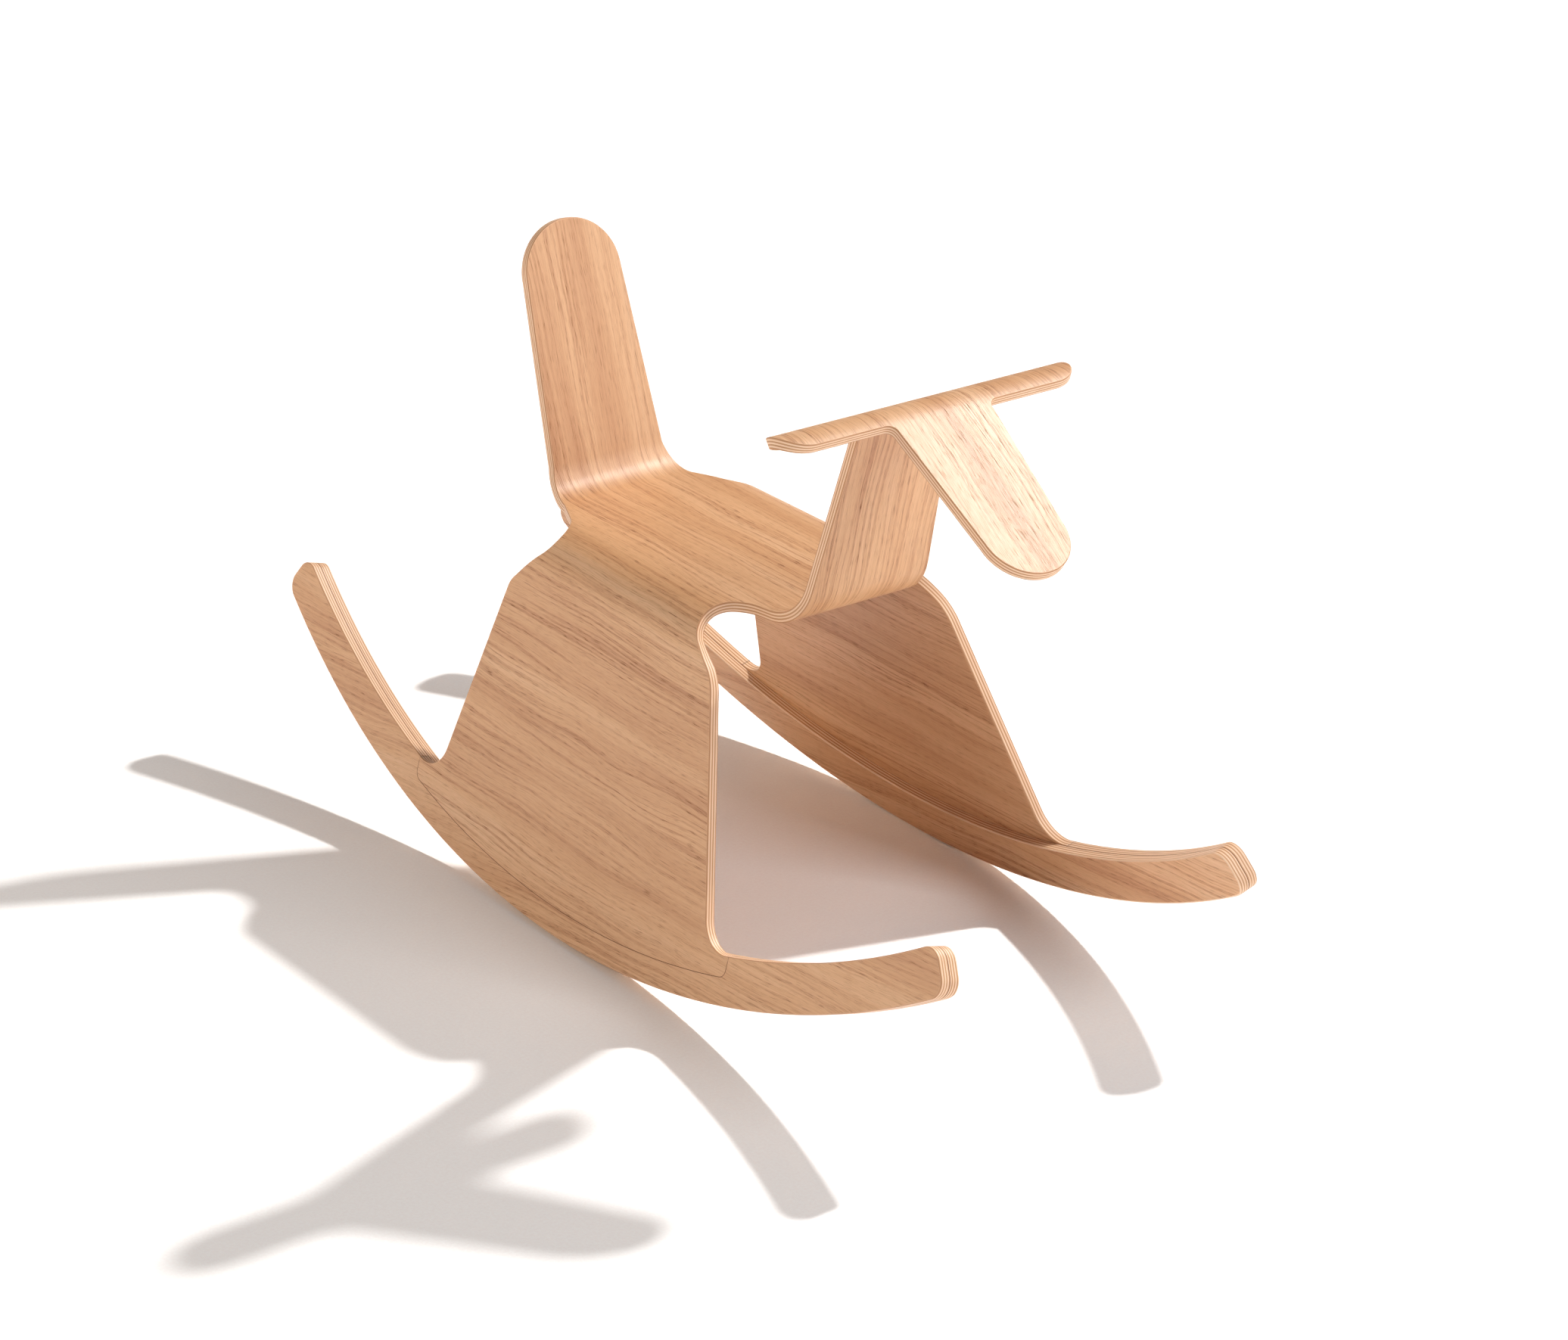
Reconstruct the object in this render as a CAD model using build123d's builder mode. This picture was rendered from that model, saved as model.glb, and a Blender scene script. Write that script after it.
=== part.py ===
from build123d import *
from math import atan2, cos, hypot, pi, radians, sin, sqrt, tan
import os

# Rocking horse pressed and cut from seven-ply board. Millimetres, X forward, Y left, Z up.
# Origin: on the floor, midway between the runners and midway between their tips.

# Board
board = 9.0
face_veneer = 1.25

# Overall shape
splay = radians(15.8)
half_track = 195.0
seat_height = 301.5
crest_radius = 50.0

# Saddle blank, along the horse, on the seat's top face
seat_rear = -158.0
seat_front = 126.5
rear_bend_radius = 30.0
front_bend_radius = 45.0
back_lean = radians(17.2)
neck_lean = radians(17.0)
head_droop = radians(33.2)
back_length = 225.0
neck_length = 226.8
apex_radius = 35.8
head_length = 203.0

# Half widths of the arms of the blank
back_foot_half = 55.5
back_top_half = 47.0
neck_foot_half = 57.5
neck_top_half = 46.5
head_root_half = 46.0
head_tip_half = 37.4

# Handlebars
bar_half_span = 141.0
bar_width = 51.0
bar_end_radius = 25.0
bar_root_fillet = 8.0
bar_back_gap = 12.2

# Side arms, given as distance out from the middle line along the sheet
front_notch = (40.0, 75.9)
front_notch_radius = 32.0
rear_notch = (-96.5, 93.0)
rear_notch_radius = 26.0
back_flare = (-165.6, 61.5)
front_shoulder = (131.1, 142.0)
rear_shoulder = (-152.3, 152.5)
front_shoulder_radius = 40.0
rear_shoulder_radius = 20.0
front_edge_angle = radians(18.4)
rear_edge_angle = radians(12.9)
foot_fillet = 27.0
toe_radius = 8.0

# Runners, two boards thick
runner_radius = 859.0
runner_touch = 10.0
runner_depth = 39.5
seam_depth = 22.5
runner_half_angle = radians(33.4)
runner_shift_angle = radians(-0.8)
runner_end_radius = 14.0
runner_arris = 1.6
front_foot = 29.0
rear_foot = 28.6

# Derived sizes
runner = 2 * board
crest_turn = pi / 2 - splay
crest_reach = crest_radius * tan(crest_turn / 2)
flat_half = half_track - seat_height * tan(splay) - crest_reach
crest_end = flat_half + crest_radius * crest_turn
crest_drop = crest_radius * (1 - cos(crest_turn))
crest_middle = (flat_half + crest_end) / 2
# Distance along the panel from the crest's lower edge to floor level
panel_length = (seat_height - crest_drop) / cos(splay)
blank_floor = crest_end + panel_length
runner_low = (runner - runner_arris) * tan(splay)
runner_centre = blank_floor - runner_low - runner_radius
back_corner = seat_rear - rear_bend_radius * tan((pi / 2 - back_lean) / 2)
neck_corner = seat_front + front_bend_radius * tan((pi / 2 - neck_lean) / 2)
apex_turn = pi / 2 - neck_lean + head_droop
apex_reach = apex_radius * tan(apex_turn / 2)
apex_x = neck_corner + neck_length * sin(neck_lean)
apex_z = seat_height + neck_length * cos(neck_lean)
apex_arc = apex_radius * apex_turn

out_dir = "parts"
os.makedirs(out_dir, exist_ok=True)


def bent_path(corners, radii, depth):
    """Points of a path of straight runs joined by arcs, moved to its right by depth."""
    runs = []
    for (x0, y0), (x1, y1) in zip(corners, corners[1:]):
        length = hypot(x1 - x0, y1 - y0)
        ux, uy = (x1 - x0) / length, (y1 - y0) / length
        runs.append((x0 + uy * depth, y0 - ux * depth, ux, uy, length))
    path = [(runs[0][0], runs[0][1])]
    for (ax, ay, ux, uy, _), (bx, by, vx, vy, _), radius in zip(runs, runs[1:], radii):
        turn = atan2(ux * vy - uy * vx, ux * vx + uy * vy)
        # Corner of the moved runs
        cross = ux * vy - uy * vx
        along = ((bx - ax) * vy - (by - ay) * vx) / cross
        cx, cy = ax + ux * along, ay + uy * along
        # A left turn has its centre on the left, so moving right makes the arc larger
        size = radius + depth if turn > 0 else radius - depth
        reach = size * tan(abs(turn) / 2)
        rise = size / cos(turn / 2) - size
        bisect = hypot(vx - ux, vy - uy)
        middle = (cx + (vx - ux) / bisect * rise, cy + (vy - uy) / bisect * rise)
        start = (cx - ux * reach, cy - uy * reach)
        end = (cx + vx * reach, cy + vy * reach)
        path.append((start, middle, end))
    x, y, ux, uy, length = runs[-1]
    path.append((x + ux * length, y + uy * length))
    return path


def draw_run(start, end):
    """Draw a straight run, unless the arcs at its ends leave none of it."""
    if hypot(end[0] - start[0], end[1] - start[1]) > 0.001:
        Line(start, end)


def draw_path(path):
    """Draw a path from bent_path in the current line builder."""
    here = path[0]
    for start, middle, end in path[1:-1]:
        draw_run(here, start)
        ThreePointArc(start, middle, end)
        here = end
    draw_run(here, path[-1])


def sheet_profile(corners, radii, depth_a, depth_b):
    """Closed outline of the sheet between two depths, seen edge on."""
    near = bent_path(corners, radii, depth_a)
    far = bent_path(corners, radii, depth_b)
    with BuildLine() as outline:
        draw_path(near)
        draw_path(far)
        Line(near[0], far[0])
        Line(near[-1], far[-1])
    return outline.line


def wrap(flat, radius, middle):
    """The flat outline as seen square to the middle of a bend that it's pressed round."""
    edges = []
    for edge in flat.edges():
        points = []
        for step in range(9):
            spot = edge @ (step / 8)
            points.append((spot.X, radius * sin((spot.Y - middle) / radius)))
        level = abs(points[0][1] - points[8][1]) < 0.001
        upright = edge.geom_type == GeomType.LINE and abs(points[0][0] - points[8][0]) < 0.001
        if level or upright:
            edges.append(Line(points[0], points[8]))
        else:
            edges.append(Spline(*points))
    return edges


def edge_end(shoulder, lean):
    """Where an edge from the shoulder, widening by lean for each unit out, meets the runner's top."""
    (x, out), top = shoulder, runner_radius - runner_depth
    start = x - runner_touch + lean * (runner_centre - out)
    run = (sqrt((1 + lean**2) * top**2 - start**2) - start * lean) / (1 + lean**2)
    return runner_touch + start + lean * run, runner_centre + run


def clear_point(corner, toward, across):
    """Height across where the line from corner toward another point reaches that x."""
    (x0, y0), (x1, y1) = corner, toward
    return y0 + (y1 - y0) * (across - x0) / (x1 - x0)


# The sheet seen edge on: along the horse, then across it
rear_run = [
    (back_corner - back_length * sin(back_lean), seat_height + back_length * cos(back_lean)),
    (back_corner, seat_height),
    (seat_rear, seat_height),
]
front_run = [
    (seat_front, seat_height),
    (neck_corner, seat_height),
    (apex_x, apex_z),
    (apex_x + head_length * cos(head_droop), apex_z - head_length * sin(head_droop)),
]
saddle_half = half_track - seat_height * tan(splay)
saddle_run = [
    (-half_track, 0),
    (-saddle_half, seat_height),
    (saddle_half, seat_height),
    (half_track, 0),
]

neck_run = [
    (seat_front, seat_height),
    (neck_corner, seat_height),
    (
        neck_corner + (neck_length - apex_reach) * sin(neck_lean),
        seat_height + (neck_length - apex_reach) * cos(neck_lean),
    ),
]

# Planes lying on the sheet's outside, with their second axis running out along the blank
seat_plane = Plane(origin=(0, 0, seat_height), x_dir=(1, 0, 0), z_dir=(0, 0, -1))
panel_top = (0, blank_floor * sin(splay) - half_track, blank_floor * cos(splay))
panel_plane = Plane(origin=panel_top, x_dir=(1, 0, 0), z_dir=(0, cos(splay), -sin(splay)))
crest_centre = (0, -flat_half, seat_height - crest_radius)
crest_plane = Plane(
    origin=crest_centre,
    x_dir=(1, 0, 0),
    z_dir=(0, sin(crest_turn / 2), -cos(crest_turn / 2)),
)
back_plane = Plane(
    origin=(back_corner, 0, seat_height),
    x_dir=(0, 1, 0),
    z_dir=(cos(back_lean), 0, sin(back_lean)),
)
neck_plane = Plane(
    origin=(neck_corner, 0, seat_height),
    x_dir=(0, 1, 0),
    z_dir=(cos(neck_lean), 0, -sin(neck_lean)),
)
head_start = apex_reach - apex_arc
head_plane = Plane(
    origin=(apex_x + head_start * cos(head_droop), 0, apex_z - head_start * sin(head_droop)),
    x_dir=(0, 1, 0),
    z_dir=(-sin(head_droop), 0, -cos(head_droop)),
)
neck_end = neck_length - apex_reach
apex_centre = (
    neck_corner + neck_end * sin(neck_lean) + apex_radius * cos(neck_lean),
    0,
    seat_height + neck_end * cos(neck_lean) - apex_radius * sin(neck_lean),
)
apex_middle = pi - neck_lean - apex_turn / 2
apex_plane = Plane(
    origin=apex_centre,
    x_dir=(0, 1, 0),
    z_dir=(-cos(apex_middle), 0, -sin(apex_middle)),
)

# Flat blank of the seat and one side arm, down to where the arm stops in the runner
front_ankle = edge_end(front_shoulder, tan(front_edge_angle))
rear_ankle = edge_end(rear_shoulder, -tan(rear_edge_angle))
front_toe = front_ankle[0] + front_foot
rear_toe = rear_ankle[0] - rear_foot
arm_deep = blank_floor + 60
front_edge_x = front_shoulder[0] + (arm_deep - front_shoulder[1]) * tan(front_edge_angle)
rear_edge_x = rear_shoulder[0] - (arm_deep - rear_shoulder[1]) * tan(rear_edge_angle)
seat_front_half = clear_point((neck_corner, neck_foot_half), front_notch, seat_front)
seat_rear_half = clear_point(back_flare, rear_notch, seat_rear)
with BuildSketch() as foot:
    with Locations(((front_toe + rear_toe) / 2, blank_floor - 60)):
        Rectangle(front_toe - rear_toe, 200)
    with Locations((runner_touch, runner_centre)):
        Circle(runner_radius - runner_depth, mode=Mode.SUBTRACT)
with BuildSketch() as arm_flat:
    with BuildLine():
        Polyline(
            (seat_front, 0),
            (seat_front, seat_front_half),
            front_notch,
            front_shoulder,
            (front_edge_x, arm_deep),
            (rear_edge_x, arm_deep),
            rear_shoulder,
            rear_notch,
            (seat_rear, seat_rear_half),
            (seat_rear, 0),
            close=True,
        )
    make_face()
    for corner, radius in (
        (front_notch, front_notch_radius),
        (rear_notch, rear_notch_radius),
        (front_shoulder, front_shoulder_radius),
        (rear_shoulder, rear_shoulder_radius),
    ):
        fillet(arm_flat.vertices().sort_by_distance(corner)[0], radius)
    add(foot.sketch)
    with Locations((runner_touch, runner_centre)):
        Circle(runner_radius - seam_depth, mode=Mode.INTERSECT)
    for ankle in (front_ankle, rear_ankle):
        fillet(arm_flat.vertices().sort_by_distance(ankle)[0], foot_fillet)
    for toe in (front_toe, rear_toe):
        sole = runner_centre + sqrt((runner_radius - seam_depth) ** 2 - (toe - runner_touch) ** 2)
        fillet(arm_flat.vertices().sort_by_distance((toe, sole))[0], toe_radius)

# Flat blank of the handlebars and head, from the top of the neck to the nose
nose = apex_arc + head_length - apex_reach
bar_front = bar_back_gap + bar_width
with BuildSketch() as crown_flat:
    with BuildLine():
        Polyline(
            (0, 0),
            (neck_top_half, 0),
            (neck_top_half, bar_back_gap),
            (bar_half_span, bar_back_gap),
            (bar_half_span, bar_front),
            (head_root_half, bar_front),
            (head_tip_half, nose - head_tip_half),
            (0, nose - head_tip_half),
            close=True,
        )
    make_face()
    for corner, radius in (
        ((neck_top_half, bar_back_gap), bar_root_fillet),
        ((head_root_half, bar_front), bar_root_fillet),
        ((bar_half_span, bar_back_gap), bar_end_radius),
        ((bar_half_span, bar_front), bar_end_radius),
    ):
        fillet(crown_flat.vertices().sort_by_distance(corner)[0], radius)
    mirror(about=Plane.YZ)
    with Locations((0, nose - head_tip_half)):
        Circle(head_tip_half)

# The bent zones of both blanks, seen square to their middles
with BuildSketch() as crest_flat:
    add(arm_flat.sketch)
    with Locations((0, crest_middle)):
        Rectangle(2000, crest_end - flat_half, mode=Mode.INTERSECT)
with BuildSketch() as apex_flat:
    add(crown_flat.sketch)
    with Locations((0, apex_arc / 2)):
        Rectangle(2000, apex_arc, mode=Mode.INTERSECT)
with BuildPart() as crest_form:
    with BuildSketch(crest_plane):
        with BuildLine():
            wrap(crest_flat.sketch, crest_radius, crest_middle)
        make_face()
    extrude(amount=-crest_radius - 5)
    with Locations(Location(crest_centre, (0, 90, 0))):
        Cylinder(crest_radius, 1000, mode=Mode.INTERSECT)
with BuildPart() as apex_form:
    with BuildSketch(apex_plane):
        with BuildLine():
            wrap(apex_flat.sketch, apex_radius, apex_arc / 2)
        make_face()
    extrude(amount=-apex_radius - 5)
    with Locations(Location(apex_centre, (90, 0, 0))):
        Cylinder(apex_radius, 1000, mode=Mode.INTERSECT)

# The whole pressed sheet, trimmed square to its faces
with BuildPart() as seat:
    with BuildSketch(seat_plane):
        add(arm_flat.sketch)
        with Locations((0, flat_half / 2)):
            Rectangle(2000, flat_half, mode=Mode.INTERSECT)
    extrude(amount=board)
with BuildPart() as crest:
    thicken(crest_form.faces().filter_by(GeomType.CYLINDER)[0], amount=-board)
with BuildPart() as panel:
    with BuildSketch(panel_plane):
        add(arm_flat.sketch)
        with Locations((0, crest_end + 500)):
            Rectangle(2000, 1000, mode=Mode.INTERSECT)
    extrude(amount=board)
with BuildPart() as backrest:
    with BuildSketch(Plane.XZ):
        add(make_face(sheet_profile(rear_run, [rear_bend_radius], 0, board).edges()))
    extrude(amount=100, both=True)
    with BuildSketch(back_plane):
        bend_low = (seat_rear - back_corner) * -sin(back_lean)
        bend_high = seat_rear - back_corner
        with BuildLine():
            Polyline(
                (-seat_rear_half, bend_low - 3 * board),
                (-seat_rear_half, bend_low),
                (-back_foot_half, bend_high),
                (-back_top_half, back_length - back_top_half),
                (back_top_half, back_length - back_top_half),
                (back_foot_half, bend_high),
                (seat_rear_half, bend_low),
                (seat_rear_half, bend_low - 3 * board),
                close=True,
            )
        make_face()
        with Locations((0, back_length - back_top_half)):
            Circle(back_top_half)
    extrude(amount=200, both=True, mode=Mode.INTERSECT)
with BuildPart() as neck:
    with BuildSketch(Plane.XZ):
        add(make_face(sheet_profile(neck_run, [front_bend_radius], 0, board).edges()))
    extrude(amount=100, both=True)
    with BuildSketch(neck_plane):
        bend_low = (seat_front - neck_corner) * sin(neck_lean)
        bend_high = neck_corner - seat_front
        with BuildLine():
            Polyline(
                (-seat_front_half, bend_low - 3 * board),
                (-seat_front_half, bend_low),
                (-neck_foot_half, bend_high),
                (-neck_top_half, neck_end),
                (neck_top_half, neck_end),
                (neck_foot_half, bend_high),
                (seat_front_half, bend_low),
                (seat_front_half, bend_low - 3 * board),
                close=True,
            )
        make_face()
    extrude(amount=200, both=True, mode=Mode.INTERSECT)
with BuildPart() as apex:
    thicken(apex_form.faces().filter_by(GeomType.CYLINDER)[0], amount=-board)
with BuildPart() as head:
    with BuildSketch(head_plane):
        add(crown_flat.sketch)
        with Locations((0, apex_arc + 500)):
            Rectangle(2000, 1000, mode=Mode.INTERSECT)
    extrude(amount=board)
with BuildPart() as sheet:
    add(seat.part)
    add(crest.part)
    add(panel.part)
    mirror(about=Plane.XZ)
    add(backrest.part)
    add(neck.part)
    add(apex.part)
    add(head.part)

# Slices of the sheet, from its upper face down
front_radii = [front_bend_radius, apex_radius]
saddle_radii = [crest_radius, crest_radius]


def sheet_layer(depth_a, depth_b):
    """The part of the sheet that lies between two depths below its outside."""
    with BuildPart() as layer:
        with BuildSketch(Plane.XZ):
            add(make_face(sheet_profile(rear_run, [rear_bend_radius], depth_a, depth_b).edges()))
            add(make_face(sheet_profile(front_run, front_radii, depth_a, depth_b).edges()))
        extrude(amount=bar_half_span + 10, both=True)
        with BuildSketch(Plane.YZ.offset(seat_rear)):
            add(make_face(sheet_profile(saddle_run, saddle_radii, depth_a, depth_b).edges()))
        extrude(amount=seat_front - seat_rear)
        with BuildSketch(Plane.YZ.offset(rear_toe - 10)):
            add(make_face(sheet_profile(saddle_run, saddle_radii, depth_a, depth_b).edges()))
            with Locations((0, seat_height - crest_drop + 500)):
                Rectangle(1000, 1000, mode=Mode.SUBTRACT)
        extrude(amount=front_toe - rear_toe + 20)
        add(sheet.part, mode=Mode.INTERSECT)
    return layer.part


# Runner outline on the panel plane
with BuildSketch() as runner_flat:
    with BuildLine():
        ends = []
        for angle in (runner_shift_angle - runner_half_angle, runner_shift_angle + runner_half_angle):
            for reach in (runner_radius - runner_depth, runner_radius):
                across = runner_touch + reach * sin(angle)
                ends.append((across, runner_centre + reach * cos(angle)))
        top_middle = (runner_touch, runner_centre + runner_radius - runner_depth)
        low_middle = (runner_touch, runner_centre + runner_radius)
        ThreePointArc(ends[0], top_middle, ends[2])
        ThreePointArc(ends[1], low_middle, ends[3])
        Line(ends[0], ends[1])
        Line(ends[2], ends[3])
    make_face()
    fillet(runner_flat.vertices(), runner_end_radius)

with BuildPart() as outer_board:
    with BuildSketch(panel_plane):
        add(runner_flat.sketch)
        add(arm_flat.sketch, mode=Mode.SUBTRACT)
    extrude(amount=board)
with BuildPart() as inner_board:
    with BuildSketch(panel_plane.offset(board)):
        add(runner_flat.sketch)
    extrude(amount=board)
    inside_low = inner_board.edges().filter_by(GeomType.CIRCLE).filter_by(lambda e: e.radius > 800)
    inside_edge = inside_low.sort_by(Axis(panel_top, panel_plane.z_dir))[-2:].sort_by(Axis.Z)[0]
    chamfer(inside_edge, runner_arris)


def save(part, name):
    """Label one piece and write its STEP file."""
    part.label = name
    export_step(part, f"{out_dir}/{name}.step")


# Every board is a face veneer, a core of crossed plies and another face veneer
cuts = (0, face_veneer, board - face_veneer, board)
for name, top, bottom in zip(("upper_veneer", "core", "lower_veneer"), cuts, cuts[1:]):
    save(sheet_layer(top, bottom), f"shell_{name}")

for board_name, whole, depth, names in (
    ("outer", outer_board, 0, ("face_veneer", "core", "glue_veneer")),
    ("inner", inner_board, board, ("glue_veneer", "core", "face_veneer")),
):
    for name, top, bottom in zip(names, cuts, cuts[1:]):
        with BuildPart() as slice_right:
            with BuildSketch(panel_plane.offset(depth + top)):
                with Locations((0, blank_floor)):
                    Rectangle(2000, 1000)
            extrude(amount=bottom - top)
            add(whole.part, mode=Mode.INTERSECT)
        with BuildPart() as slice_left:
            add(slice_right.part)
            mirror(about=Plane.XZ)
            add(slice_right.part, mode=Mode.SUBTRACT)
        save(slice_right.part, f"runner_right_{board_name}_{name}")
        save(slice_left.part, f"runner_left_{board_name}_{name}")
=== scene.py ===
"""Rocking horse in bent oak-faced ply: its looks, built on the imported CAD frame.

Metres, X forward, Y left, Z up, floor at z = 0. The bent sheet and the four runner boards are
surfaces over their flat blanks: (a, b) is a place on the flat veneer in millimetres, a along the
grain and growing to the front, b across it and growing to the left, and each form below says
where the press carries that place.
"""
import math

import bpy
import numpy as np
from mathutils import Matrix, Vector
from mathutils.geometry import delaunay_2d_cdt


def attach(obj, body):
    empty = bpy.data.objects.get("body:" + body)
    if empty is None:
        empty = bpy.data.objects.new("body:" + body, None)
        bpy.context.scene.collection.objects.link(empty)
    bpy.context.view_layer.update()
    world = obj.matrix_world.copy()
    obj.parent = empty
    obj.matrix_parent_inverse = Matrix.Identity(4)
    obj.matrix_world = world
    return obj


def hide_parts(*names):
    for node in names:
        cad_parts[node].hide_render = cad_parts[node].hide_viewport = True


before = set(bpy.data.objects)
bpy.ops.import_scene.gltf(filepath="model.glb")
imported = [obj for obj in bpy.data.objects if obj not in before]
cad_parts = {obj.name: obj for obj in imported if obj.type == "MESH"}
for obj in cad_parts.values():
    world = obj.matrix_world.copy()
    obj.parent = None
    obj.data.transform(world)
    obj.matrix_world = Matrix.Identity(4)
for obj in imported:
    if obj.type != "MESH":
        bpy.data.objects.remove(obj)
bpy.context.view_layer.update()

# Sizes in millimetres
BOARD, PLIES = 9.0, 7
SPLAY = math.radians(15.8)
HALF_TRACK = 195.0
SEAT = 301.5
CREST_R = 50.0
SEAT_REAR, SEAT_FRONT = -158.0, 126.5
REAR_R, FRONT_R, APEX_R = 30.0, 45.0, 35.8
BACK_LEAN, NECK_LEAN, DROOP = math.radians(17.2), math.radians(17.0), math.radians(33.2)
BACK_LONG, NECK_LONG, HEAD_LONG = 225.0, 226.8, 203.0
# Half widths of the arms; the nose and the backrest's top are half circles
NOSE_R, HEAD_HALF, NECK_TOP_HALF, NECK_FOOT_HALF = 37.4, 46.0, 46.5, 57.5
BACK_R, BACK_FOOT_HALF = 47.0, 55.5
# Handlebars: half their span, their edges beyond the neck's top, and the radii at end and root
BAR_HALF, BAR_BACK, BAR_FRONT, BAR_END_R, BAR_ROOT_R = 141.0, 12.2, 63.2, 25.0, 8.0
# Side panels: slants of their edges, radii of their corners, length of the foot past each ankle
FRONT_SLANT, REAR_SLANT = math.radians(18.4), math.radians(12.9)
FRONT_NOTCH_R, REAR_NOTCH_R, FRONT_SHOULDER_R, REAR_SHOULDER_R = 32.0, 26.0, 40.0, 20.0
ANKLE_R, TOE_R = 27.0, 8.0
FRONT_FOOT, REAR_FOOT = 29.0, 28.6
# Runners: arc of the sole, depths of the boards and of the seam, x of the line on the floor, half
# the arc's turn, how far it is turned back, radius of the ends, and the CAD's sole arris
RUNNER_R, RUNNER_DEEP, SEAM_DEEP, TOUCH = 859.0, 39.5, 22.5, 10.0
RUNNER_HALF_TURN, RUNNER_MID = math.radians(33.4), math.radians(-0.8)
RUNNER_END_R, SOLE_BREAK = 14.0, 1.6
# Arrises: broken by hand, the sole's, and the tight ones where two boards are glued flush
ARRIS, SOLE_ARRIS, TIGHT = 0.9, 1.86, 0.3
# Spacing of the points over each blank
SHEET_PITCH, RUNNER_PITCH = 5.0, 6.0
# A straight run that ends beyond every board
ONWARD = 900.0
# The fore and aft arms stay this near to the middle, and all past HEAD_FROM is head and bars
ARM_HALF, HEAD_FROM = 100.0, 300.0

crest_turn = math.pi / 2 - SPLAY
flat_half = HALF_TRACK - SEAT * math.tan(SPLAY) - CREST_R * math.tan(crest_turn / 2)
crest_end = flat_half + CREST_R * crest_turn
floor_b = crest_end + (SEAT - CREST_R * (1 - math.cos(crest_turn))) / math.cos(SPLAY)
# The splayed pair of boards stands on the inner one, where its sole arris begins
centre_b = floor_b - (2 * BOARD - SOLE_BREAK) * math.tan(SPLAY) - RUNNER_R
top_radius = RUNNER_R - RUNNER_DEEP
seam_radius = RUNNER_R - SEAM_DEEP
rear_turn = math.pi / 2 - BACK_LEAN
front_turn = math.pi / 2 - NECK_LEAN
apex_turn = front_turn + DROOP
rear_reach = REAR_R * math.tan(rear_turn / 2)
front_reach = FRONT_R * math.tan(front_turn / 2)
apex_reach = APEX_R * math.tan(apex_turn / 2)
# Marks along the grain: neck foot, neck top, end of the handlebar bend, nose, backrest foot, top
neck_foot = SEAT_FRONT + FRONT_R * front_turn
neck_top = neck_foot + NECK_LONG - apex_reach - front_reach
head_root = neck_top + APEX_R * apex_turn
nose = head_root + HEAD_LONG - apex_reach
back_foot = SEAT_REAR - REAR_R * rear_turn
back_top = back_foot - (BACK_LONG - rear_reach)


def follow(run, start, bends):
    """A path of straight runs and arcs. With bend k of length L_k and curvature c_k, the heading
    is t = sum c_k s_k, and the place is start + integral of (cos t, sin t) ds."""
    x, z, turn = start[0], start[1], 0.0
    px, pz, heading = run + x, np.full_like(run, z), np.zeros_like(run)
    done = 0.0
    for length, curve in bends:
        s = run - done
        here = s > 0
        s = s[here]
        if curve:
            ahead = turn + curve * s
            px[here] = x + (np.sin(ahead) - math.sin(turn)) / curve
            pz[here] = z - (np.cos(ahead) - math.cos(turn)) / curve
        else:
            ahead = np.full_like(s, turn)
            px[here] = x + s * math.cos(turn)
            pz[here] = z + s * math.sin(turn)
        heading[here] = ahead
        if curve:
            after = turn + curve * length
            x += (math.sin(after) - math.sin(turn)) / curve
            z -= (math.cos(after) - math.cos(turn)) / curve
            turn = after
        else:
            x += length * math.cos(turn)
            z += length * math.sin(turn)
        done += length
    return px, pz, heading


def saddle_form(a, b):
    """Seat, crests and side panels. Across the blank the section is flat to |b| = flat_half,
    then an arc of CREST_R, then straight down at the splay; a stays x."""
    side = np.where(b < 0, -1.0, 1.0)
    y, z, t = follow(np.abs(b), (0.0, SEAT), [
        (flat_half, 0.0), (crest_end - flat_half, -1 / CREST_R), (ONWARD, 0.0)])
    place = np.stack([a, side * y, z], 1)
    along = np.zeros_like(place)
    along[:, 0] = 1
    across = np.stack([0 * a, np.cos(t), side * np.sin(t)], 1)
    normal = np.stack([0 * a, -side * np.sin(t), np.cos(t)], 1)
    return place, along, across, normal


def mirror_form(a, b):
    """saddle_form at (a, -b): the same blank pressed to the right. across turns round with b."""
    place, along, across, normal = saddle_form(a, -b)
    return place, along, -across, normal


def spine_form(a, b):
    """Backrest and neck, handlebars and head. Along the blank the section is the seat's flat,
    then the rear arc and the backrest, or the front arc, the neck, the apex arc and the head."""
    front = a > (SEAT_REAR + SEAT_FRONT) / 2
    way = np.where(front, 1.0, -1.0)
    run = np.where(front, a - SEAT_FRONT, SEAT_REAR - a)
    fx, fz, ft = follow(run, (SEAT_FRONT, SEAT), [
        (FRONT_R * front_turn, 1 / FRONT_R), (neck_top - neck_foot, 0.0),
        (APEX_R * apex_turn, -1 / APEX_R), (ONWARD, 0.0)])
    rx, rz, rt = follow(run, (-SEAT_REAR, SEAT), [
        (REAR_R * rear_turn, 1 / REAR_R), (ONWARD, 0.0)])
    x = np.where(front, fx, -rx)
    z = np.where(front, fz, rz)
    t = np.where(front, ft, rt)
    place = np.stack([x, b, z], 1)
    along = np.stack([np.cos(t), 0 * a, way * np.sin(t)], 1)
    across = np.zeros_like(place)
    across[:, 1] = 1
    normal = np.stack([-way * np.sin(t), 0 * a, np.cos(t)], 1)
    return place, along, across, normal


def sheet_form(a, b):
    """The whole bent sheet: spine_form on the arms that run fore and aft, saddle_form elsewhere."""
    on_arm = (a > SEAT_FRONT) | (a < SEAT_REAR)
    on_spine = on_arm & ((np.abs(b) < ARM_HALF) | (a > HEAD_FROM))
    return [np.where(on_spine[:, None], spine, saddle)
            for spine, saddle in zip(spine_form(a, b), saddle_form(a, b))]


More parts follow.
